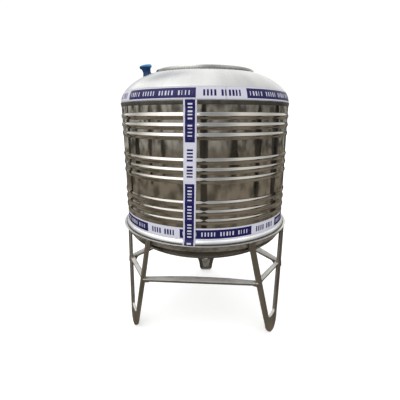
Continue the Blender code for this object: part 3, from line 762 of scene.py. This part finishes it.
def makeDome():
    rise = domeRise()
    sheet = bands["sheet"]
    stop = math.asin((landHeight - shoulder) / rise)
    innerStop = math.asin((landHeight - sheet - shoulder) / (rise - sheet))
    outer = ellipseArc(tankRadius, rise, shoulder, stop, bands["outerRows"])
    inner = ellipseArc(tankRadius - sheet, rise - sheet, shoulder, innerStop, bands["innerRows"])
    hole = neckRadius - 2 * sheet
    land = [(radius, landHeight) for radius in (*bands["landRings"], hole)]
    outline = outer + land + [(hole, landHeight - sheet)] + inner[::-1]
    addPiece("satin_dome", spunMesh(outline), "satinSteel", ["dome"])


def makeDish():
    hole = bands["outletRadius"] + gap
    sheet = bands["sheet"]
    depth = bands["dishDepth"]
    within = tankRadius - sheet
    outer = ellipseArc(tankRadius, -depth, dishTop, math.acos(hole / tankRadius), bands["outerRows"])
    inner = ellipseArc(within, sheet - depth, dishTop, math.acos(hole / within), bands["innerRows"])
    addPiece("dished_bottom", spunMesh(outer + inner[::-1]), "dishSteelPaintedShade", ["bottom_dish"])


lid = {
    "sheet": 0.0016,
    "corner": 0.0035,
    "crownRadius": 0.19,
    "crownSlope": 0.016,
    "deckHeight": 0.0258,
    "crownHeight": 0.0312,
    "edge": 0.0012,
    "foldLow": 0.003,
    "foldHigh": 0.005,
    "crownRings": [0.02, 0.04, 0.06, 0.08, 0.1, 0.12, 0.14, 0.16],
    "slopeRings": [0.182 + 0.0025 * index for index in range(14)],
    "deckRings": [0.235, 0.25],
    "steps": 192,
}

neck = {
    "rim": 0.246,
    "corner": 0.003,
    "lip": 0.0015,
}


def smoothStep(share):
    share = max(0.0, min(1.0, share))
    return share * share * (3.0 - 2.0 * share)


def lidSurface(radius):
    share = (radius - lid["crownRadius"]) / lid["crownSlope"]
    deck = landHeight + lid["deckHeight"]
    crown = landHeight + lid["crownHeight"]
    return crown + (deck - crown) * smoothStep(share)


def makeLid():
    sheet, corner, edge = lid["sheet"], lid["corner"], lid["edge"]
    radii = [0.0] + lid["crownRings"] + lid["slopeRings"] + lid["deckRings"]
    deck = landHeight + lid["deckHeight"]
    fold = lidRadius - 2 * sheet
    outline = [(radius, lidSurface(radius)) for radius in radii]
    outline += arc((lidRadius - corner, deck - corner), corner, 90.0, 0.0, 6)
    outline += arc((lidRadius - edge, lidLow + edge), edge, 0.0, -90.0, 3)
    outline += [(fold, lidLow), (fold, lidLow + lid["foldLow"])]
    outline += [(lidRadius - sheet, lidLow + lid["foldHigh"])]
    outline += arc((lidRadius - corner, deck - corner), corner - sheet, 0.0, 90.0, 4)
    outline += [(radius, lidSurface(radius) - sheet) for radius in radii[::-1]]
    cover = spunMesh(outline, lid["steps"], closed=False)
    addPiece("manhole_lid", cover, "lidSteel", ["lid"], body="lid")


def makeNeck():
    low = landHeight + gap
    inner = neckRadius - 2 * bands["sheet"]
    corner, lip = neck["corner"], neck["lip"]
    outline = [(inner, low), (neckRadius, low)]
    outline += arc((neckRadius - corner, neckTop - corner), corner, 0.0, 90.0, 5)
    outline += arc((neck["rim"] + lip, neckTop - lip), lip, 90.0, 270.0, 6)
    outline += [(inner, neckTop - corner)]
    addPiece("manhole_rim", spunMesh(outline, lid["steps"]), "satinSteel", ["manhole_neck"])


makeHem()
makeSeam()
makeDome()
makeDish()
makeLid()
makeNeck()
print("shell made")


# Air vent, placed along its own leaning axis

vent = {
    "azimuth": -86.0,
    "distance": 0.31,
    "tilt": 11.0,
    "collarHeight": 0.0065,
    "stem": 0.015,
    "stemDepth": 0.012,
    "base": 0.025,
    "baseEdge": 0.001,
    "baseHeight": 0.006,
    "waist": 0.0205,
    "waistRows": 12,
    "waistPower": 0.8,
    "waistGap": 0.004,
    "flare": 0.001,
    "cap": 0.033,
    "height": 0.055,
    "capHeight": 0.012,
    "capCorner": 0.003,
    "brim": [(0.002, 0.0), (0.0006, 0.0008)],  # in from the cap's edge, up from its underside
    "crown": [(0.027, 0.0012), (0.008, 0.0006), (0.0, 0.0004)],  # radius, down from the top
}


def ventPlace():
    turn = math.radians(vent["azimuth"])
    base = roundPoint(vent["distance"], turn, domeHeight(vent["distance"]))
    return (Matrix.Translation(base) @ Matrix.Rotation(turn, 4, "Z")
            @ Matrix.Rotation(math.radians(vent["tilt"]), 4, "X"))


def makeVent():
    foot = vent["collarHeight"] + gap
    top = foot + vent["height"]
    under = top - vent["capHeight"]
    base, edge = vent["base"], vent["baseEdge"]
    low, high = foot + vent["baseHeight"], under - vent["waistGap"]
    outline = [(0.0, -vent["stemDepth"]), (vent["stem"], -vent["stemDepth"]), (vent["stem"], foot)]
    outline += [(base - edge, foot), (base, foot + edge), (base, low)]
    for step in range(1, vent["waistRows"] + 1):
        share = step / vent["waistRows"]
        pinch = math.sin(math.pi * share) ** vent["waistPower"]
        radius = base - (base - vent["waist"]) * pinch
        outline.append((radius + vent["flare"] * share, low + (high - low) * share))
    outline += [(vent["cap"] - inset, under + rise) for inset, rise in vent["brim"]]
    corner = vent["capCorner"]
    outline += [(vent["cap"], top - corner - edge)]
    outline += arc((vent["cap"] - corner, top - corner), corner, 0.0, 90.0, 4)
    outline += [(radius, top - drop) for radius, drop in vent["crown"]]
    bm = spunMesh(outline, 64, closed=False)
    bm.transform(ventPlace())
    addPiece("air_vent", bm, "bluePlastic", ["vent_cap"], sharp=40.0)


makeVent()
print("vent made")


# Printed film: strips round the dome's foot, round the wall's foot and down the front

strips = {
    "upperLow": 1.2685,
    "upperRise": 0.93,
    "upperSag": 0.0012,
    "upperStart": 12.0,
    "upperBlock": 27.8,
    "upperStretch": 1.043,
    "lowerLow": 0.6405,
    "lowerStart": 180.0,
    "lowerBlock": -11.1,
    "lowerStretch": 1.007,
    "downTop": 1.318,
    "downEnd": 0.6165,
    "downBlock": 1.0925,
    "downAzimuth": -3.6,
    "downLean": -2.5,
    "downCurve": 0.006,
    "downSmooth": 0.004,
    "overlap": 0.03,
    "lapLift": 0.0008,
    "lapFade": 0.006,
    "crossLift": 0.0012,
    "crossFade": 0.008,
    "lift": 0.0007,
    "overRibs": 0.0026,
    "overFilm": 0.003,
    "filmReach": 0.006,
    "bandReach": 0.004,
    "ripple": 0.0006,
}


def layStrip(name, length, cellsAlong, cellsAcross, place, phase, seed, stretch=1.0):
    bm = bmesh.new()
    bmesh.ops.create_grid(bm, x_segments=cellsAlong, y_segments=cellsAcross, size=0.5)
    bmesh.ops.translate(bm, verts=bm.verts, vec=(0.5, 0.5, 0.0))
    bmesh.ops.scale(bm, verts=bm.verts, vec=(length, film["width"], 1.0))
    printMap = bm.loops.layers.uv.new("printMap")
    for face in bm.faces:
        for loop in face.loops:
            loop[printMap].uv = (loop.vert.co.x / stretch + phase, loop.vert.co.y)
    for vert in bm.verts:
        along, across = vert.co.x, vert.co.y
        wobble = noise.noise(Vector((along * 9.0, across * 22.0, seed)))
        vert.co = place(along, across, abs(wobble) * strips["ripple"])
    strip = meshPiece(name, bm, looks["markingFilm"])
    thick = strip.modifiers.new("filmThickness", "SOLIDIFY")
    thick.thickness = film["thickness"]
    thick.offset = 1.0
    finishPiece(strip)


def downMiddle(height):  # the front strip leans a little
    return math.radians(strips["downAzimuth"] + strips["downLean"] * (shoulder - height))


def overStrip(turn, height):  # how far another strip rises where it crosses the front strip
    away = abs(math.remainder(turn - downMiddle(height), math.tau)) * tankRadius - film["width"] / 2
    return strips["crossLift"] * smoothStep(1.0 - away / strips["crossFade"])


def lapOver(along):  # a round strip's end lies on its start
    return strips["lapLift"] * smoothStep((along - math.tau * tankRadius) / strips["lapFade"] + 1.0)


def upperPlace(along, across, wobble):
    height = strips["upperLow"] + across * strips["upperRise"]
    turn = along / tankRadius + math.radians(strips["upperStart"])
    sag = strips["upperSag"] * noise.noise(Vector((math.cos(turn) * 5.0, math.sin(turn) * 5.0, 2.0)))
    radius = domeRadius(height) + strips["lift"] + wobble + lapOver(along) + overStrip(turn, height)
    return roundPoint(radius, turn, height + sag * across / film["width"])


def lowerPlace(along, across, wobble):
    height = strips["lowerLow"] + across
    radius = tankRadius + strips["lift"] + wobble
    if height < hemHigh + strips["bandReach"]:
        radius = max(radius, bands["hemTopRadius"] + strips["lift"])
    turn = along / tankRadius + math.radians(strips["lowerStart"])
    return roundPoint(radius + lapOver(along), turn, height)


def hangRadius(height):  # how far out the front strip hangs at a height
    if height > shoulder:
        return domeRadius(height) + strips["lift"]
    if height > wallHigh - strips["bandReach"]:
        return seamRadius + strips["lift"]
    out = tankRadius + strips["lift"] + ribBulge(height)
    if min(abs(height - middle) for middle in groupHeights()) < ribs["pitch"] + ribs["halfWidth"]:
        out = max(out, tankRadius + strips["overRibs"])
    if height < strips["lowerLow"] + film["width"] + strips["filmReach"]:
        out = max(out, tankRadius + strips["overFilm"])
    if height < hemHigh + strips["bandReach"]:
        out = max(out, hemOuter(height) + 2 * strips["lift"])
    return out


def downPlace(along, across, wobble):
    height = strips["downTop"] - along
    turn = downMiddle(height) + (film["width"] / 2 - across) / (tankRadius + strips["downCurve"])
    reach = hangRadius(height)
    if height <= shoulder:  # the film bridges small steps
        near = [hangRadius(height + step * strips["downSmooth"]) for step in (-2, -1, 0, 1, 2)]
        reach = max(reach, sum(near) / len(near))
    return roundPoint(reach + wobble, turn, height)


def roundPhase(place):  # where the print starts on a strip that runs round the tank
    turn = math.radians((strips[place + "Block"] - strips[place + "Start"]) % 360.0)
    return -turn * tankRadius / strips[place + "Stretch"]


def makeFilm():
    girth = math.tau * tankRadius + strips["overlap"]
    layStrip("film_round_dome", girth, 360, 8, upperPlace, roundPhase("upper"), 1.0, strips["upperStretch"])
    layStrip("film_round_wall", girth, 360, 6, lowerPlace, roundPhase("lower"), 2.0, strips["lowerStretch"])
    layStrip("film_down_front", strips["downTop"] - strips["downEnd"], 260, 8, downPlace,
             strips["downBlock"] + film["blockLength"] - strips["downTop"], 3.0)


makeFilm()
print("film made")


# Stand: the V-shaped legs are single pressed channels, coped where they meet the ring

leg = {
    "azimuths": {"front_right": 60.0, "back": 183.2, "front_left": -60.0},
    "planeTop": 0.4159,
    "planeGround": 0.4679,
    "spreadTop": 0.2031,
    "spreadGround": 0.0276,
    "bow": 0.04,
    "fitHeight": 0.597,
    "face": 0.039,
    "swell": 0.0024,
    "depth": 0.015,
    "sheet": 0.0022,
    "corner": 0.0045,
    "foot": {"round": 0.072, "curve": 1.6, "flat": 0.012, "pinch": 0.0},
    "backFoot": {"round": 0.036, "curve": 2.0, "flat": 0.026, "pinch": 0.017},
    "pinchTop": 0.33,
    "pinchPower": 0.6,
    "notchTop": 0.115,
    "notchBottom": 0.1,
    "notchSteps": 8,
    "copeRadius": 0.459,
    "copeLow": 0.5547,
    "copeHeight": 0.2,
    "lip": 0.0035,
    "steps": 22,
    "sharp": 30.0,
}


def legPoint(azimuth, side, height, outward):
    turn = math.radians(azimuth)
    share = height / leg["fitHeight"]
    distance = leg["planeGround"] + (leg["planeTop"] - leg["planeGround"]) * share + outward
    return Vector((math.sin(turn) * distance + math.cos(turn) * side,
                   math.sin(turn) * side - math.cos(turn) * distance, height))


def legSpread(height, pinch):  # a pinched V draws its bars in a little above the foot
    share = height / leg["fitHeight"]
    straight = leg["spreadGround"] + (leg["spreadTop"] - leg["spreadGround"]) * share
    drawn = math.sin(math.pi * min(height / leg["pinchTop"], 1.0) ** leg["pinchPower"]) ** 2
    return straight + leg["bow"] * height * (leg["fitHeight"] - height) - pinch * drawn


def legHalf(height):  # half a bar's width, a little more halfway up
    return leg["face"] / 2 + leg["swell"] * math.sin(math.pi * min(height / leg["fitHeight"], 1.0))


def legOutline(foot):  # right half of the V as (side, height): up its outer edge, then down its inner edge
    high = ringHigh - leg["lip"] - gap
    low, flat, steps = foot["round"], foot["flat"], leg["steps"]
    notchTop, notchBottom = leg["notchTop"], leg["notchBottom"]

    def edgeSide(height, hand):
        return legSpread(height, foot["pinch"]) + hand * legHalf(height)

    points = [(flat, 0.0)]
    for step in range(1, steps):
        share = (step / steps) ** 1.5
        bulge = (1.0 - (1.0 - share) ** foot["curve"]) ** (1.0 / foot["curve"])
        points.append((flat + (edgeSide(low, 1) - flat) * bulge, low * share))
    for start, stop, hand in ((low, high, 1), (high, notchTop, -1)):
        for step in range(steps + 1):
            height = start + (stop - start) * step / steps
            points.append((edgeSide(height, hand), height))
    for step in range(1, leg["notchSteps"]):
        turn = math.pi / 2 * step / leg["notchSteps"]
        points.append((edgeSide(notchTop, -1) * math.cos(turn),
                       notchTop - (notchTop - notchBottom) * math.sin(turn)))
    points.append((0.0, notchBottom))
    return points


def copeCutter():  # what the ring and the saddles take out of the legs' tops
    bm = bmesh.new()
    bmesh.ops.create_cone(bm, cap_ends=True, segments=192, radius1=leg["copeRadius"],
                          radius2=leg["copeRadius"], depth=leg["copeHeight"])
    bmesh.ops.translate(bm, verts=bm.verts, vec=(0, 0, leg["copeLow"] + leg["copeHeight"] / 2))
    mesh = bpy.data.meshes.new("legCope")
    bm.to_mesh(mesh)
    bm.free()
    return linkObject("legCope", mesh)


def makeLeg(place, cutter):
    azimuth = leg["azimuths"][place]
    deep = leg["depth"] / 2
    right = legOutline(leg["backFoot" if place == "back" else "foot"])
    outline = [(-side, height) for side, height in right[-2::-1]] + right
    bm = bmesh.new()
    back = bm.faces.new([bm.verts.new((side, -deep, height)) for side, height in outline])
    extrudeFace(bm, back, (0, leg["depth"], 0))
    bmesh.ops.recalc_face_normals(bm, faces=bm.faces)
    front = max(bm.faces, key=lambda face: face.calc_center_median().y)
    bevelParts(bm, list(front.edges), leg["corner"], 4)
    bm.faces.ensure_lookup_table()
    behind = min(bm.faces, key=lambda face: face.calc_center_median().y)
    bmesh.ops.inset_region(bm, faces=[behind], thickness=leg["sheet"], use_even_offset=True)
    extrudeFace(bm, behind, (0, leg["depth"] - leg["sheet"], 0))
    if behind.is_valid:
        bmesh.ops.delete(bm, geom=[behind], context="FACES_ONLY")
    for vert in bm.verts:
        vert.co = legPoint(azimuth, vert.co.x, vert.co.z, vert.co.y)
    bmesh.ops.triangulate(bm, faces=[face for face in bm.faces if len(face.verts) > 4])
    bmesh.ops.recalc_face_normals(bm, faces=bm.faces)
    piece = meshPiece("pressed_leg_" + place, bm, looks["standSteel"], leg["sharp"])
    trim = piece.modifiers.new("cope", "BOOLEAN")
    trim.operation = "DIFFERENCE"
    trim.object = cutter
    graph = bpy.context.evaluated_depsgraph_get()
    piece.data = bpy.data.meshes.new_from_object(piece.evaluated_get(graph))
    piece.modifiers.clear()
    finishPiece(piece, stands=[f"leg_{place}_a", f"leg_{place}_b", f"shoe_{place}"])


footPlate = {
    "corners": [(-0.022, 0.026), (0.022, 0.026), (0.034, 0.098), (-0.034, 0.098)],  # side, height
    "corner": 0.008,
    "sheet": 0.0022,
    "inset": 0.0014,
    "border": 0.006,
    "press": 0.8,
}


def makeFootPlate(place):  # stiffening plate between the two bars, on the side towards the tank
    sheet = footPlate["sheet"]
    back = -leg["depth"] / 2 + footPlate["inset"]
    bm = bmesh.new()
    face = bm.faces.new([bm.verts.new((side, back, height)) for side, height in footPlate["corners"]])
    bevelParts(bm, list(face.verts), footPlate["corner"], 5, "VERTICES")
    bmesh.ops.inset_region(bm, faces=bm.faces[:], thickness=footPlate["border"], depth=0.0,
                           use_even_offset=True)
    pressed = max(bm.faces, key=lambda item: len(item.verts))
    bmesh.ops.translate(bm, verts=pressed.verts, vec=(0, sheet * footPlate["press"], 0))
    bmesh.ops.solidify(bm, geom=bm.faces[:], thickness=sheet)
    for vert in bm.verts:
        vert.co = legPoint(leg["azimuths"][place], vert.co.x, vert.co.z, vert.co.y)
    bmesh.ops.recalc_face_normals(bm, faces=bm.faces)
    addPiece("foot_plate_" + place, bm, "plateSteel", sharp=leg["sharp"])


def makeLegs():
    cutter = copeCutter()
    for place in leg["azimuths"]:
        makeLeg(place, cutter)
        makeFootPlate(place)
    bpy.data.objects.remove(cutter)


ring = {
    "inner": 0.4525,
    "band": 0.003,
    "edge": 0.0012,
    "bead": 0.001,
}


def makeRing():  # rolled band with an outward lip, beaded along its foot
    inner, edge, bead = ring["inner"], ring["edge"], ring["bead"]
    outer = inner + ring["band"]
    under = ringHigh - leg["lip"]
    outline = [(inner, ringLow + bead)]
    outline += arc((outer - bead, ringLow + bead), bead, -90.0, 0.0, 4)
    outline += arc((outer + edge * 2, under - edge * 2), edge * 2, 180.0, 90.0, 5)
    outline += arc((ringRadius - edge, under + edge), edge, -90.0, 0.0, 4)
    outline += arc((ringRadius - edge, ringHigh - edge), edge, 0.0, 90.0, 4)
    outline += arc((inner + edge * 2, ringHigh - edge * 2), edge * 2, 90.0, 180.0, 5)
    addPiece("rolled_ring", spunMesh(outline), "ringSteel", ["stand_ring"])


rounding = {
    "width": 0.0011,
    "segments": 2,
    "sharp": 40.0,
    "flat": 1.5,
    "merge": 0.00002,
}


def roundedCopy(name, newName):  # a node's own shape, with its sharp edges worn round
    bm = bmesh.new()
    bm.from_mesh(nodes[name].data)
    bmesh.ops.remove_doubles(bm, verts=bm.verts, dist=rounding["merge"])
    bmesh.ops.dissolve_limit(bm, angle_limit=math.radians(rounding["flat"]), verts=bm.verts, edges=bm.edges)
    sharp = [edge for edge in bm.edges if len(edge.link_faces) == 2
             and edge.calc_face_angle() > math.radians(rounding["sharp"])]
    bevelParts(bm, sharp, rounding["width"], rounding["segments"])
    addPiece(newName, bm, "standSteel", [name], sharp=leg["sharp"])


def makeSaddlesAndBraces():
    places = list(leg["azimuths"])
    for index, place in enumerate(places):
        for side in "ab":
            roundedCopy(f"saddle_{place}_{side}", f"leg_top_{place}_{side}")
        roundedCopy(f"brace_{place}", f"short_brace_{place}")
        after = places[(index + 1) % len(places)]
        roundedCopy(f"brace_{place}_to_{after}", f"long_brace_{place}_to_{after}")


weld = {
    "height": 0.371,
    "radius": 0.003,
    "lump": 0.0014,
    "rings": 22,
    "sides": 8,
    "taper": 0.35,
    "tip": 0.05,
    "endGap": 0.002,
}


def weldBead(bm, start, end, seed):  # lumpy bead laid between two points
    along = (end - start).normalized()
    across = along.cross(Vector((0, 0, 1))).normalized()
    rows = []
    for step in range(weld["rings"] + 1):
        share = step / weld["rings"]
        full = max(math.sin(math.pi * share), 0.0) ** weld["taper"]
        row = []
        for side in range(weld["sides"]):
            angle = math.tau * side / weld["sides"]
            out = across * math.cos(angle) + Vector((0, 0, 1)) * math.sin(angle)
            lump = noise.noise(Vector((share * 9.0, angle, seed)))
            reach = (weld["radius"] + weld["lump"] * lump) * max(full, weld["tip"])
            row.append(bm.verts.new(start.lerp(end, share) + out * reach))
        rows.append(row)
    for lower, upper in zip(rows, rows[1:]):
        for side in range(weld["sides"]):
            after = (side + 1) % weld["sides"]
            bm.faces.new((lower[side], lower[after], upper[after], upper[side]))
    bm.faces.new(rows[0])
    bm.faces.new(rows[-1][::-1])


def makeWelds():  # where the braces meet the backs and sides of the leg bars
    height = weld["height"]
    half = legHalf(height)
    behind = -leg["depth"] / 2
    ahead = leg["depth"] / 2 - weld["endGap"]
    for index, (place, azimuth) in enumerate(leg["azimuths"].items()):
        bm = bmesh.new()
        for hand in (-1, 1):
            middle = hand * legSpread(height, 0.0)
            outerSide = middle + hand * half
            weldBead(bm, legPoint(azimuth, middle - half, height, behind),
                     legPoint(azimuth, middle + half, height, behind), 10.0 * index + hand)
            weldBead(bm, legPoint(azimuth, outerSide, height, behind),
                     legPoint(azimuth, outerSide, height, ahead), 10.0 * index + hand + 5.0)
        bmesh.ops.recalc_face_normals(bm, faces=bm.faces)
        addPiece("weld_beads_" + place, bm, "weldSteelPaintedGlint", sharp=60.0)


makeLegs()
makeRing()
makeSaddlesAndBraces()
makeWelds()
print("stand made")


# Materials for the CAD nodes that stay

for name, item in nodes.items():
    if item.hide_render:
        continue
    look, slot = "standSteel", "stand_steel"
    if name in ("vent_collar", "lid_bail"):
        look, slot = "satinSteel", "satin_steel"
    item.data.materials.clear()
    item.data.materials.append(looks[look])
    print("solid kept:", name)
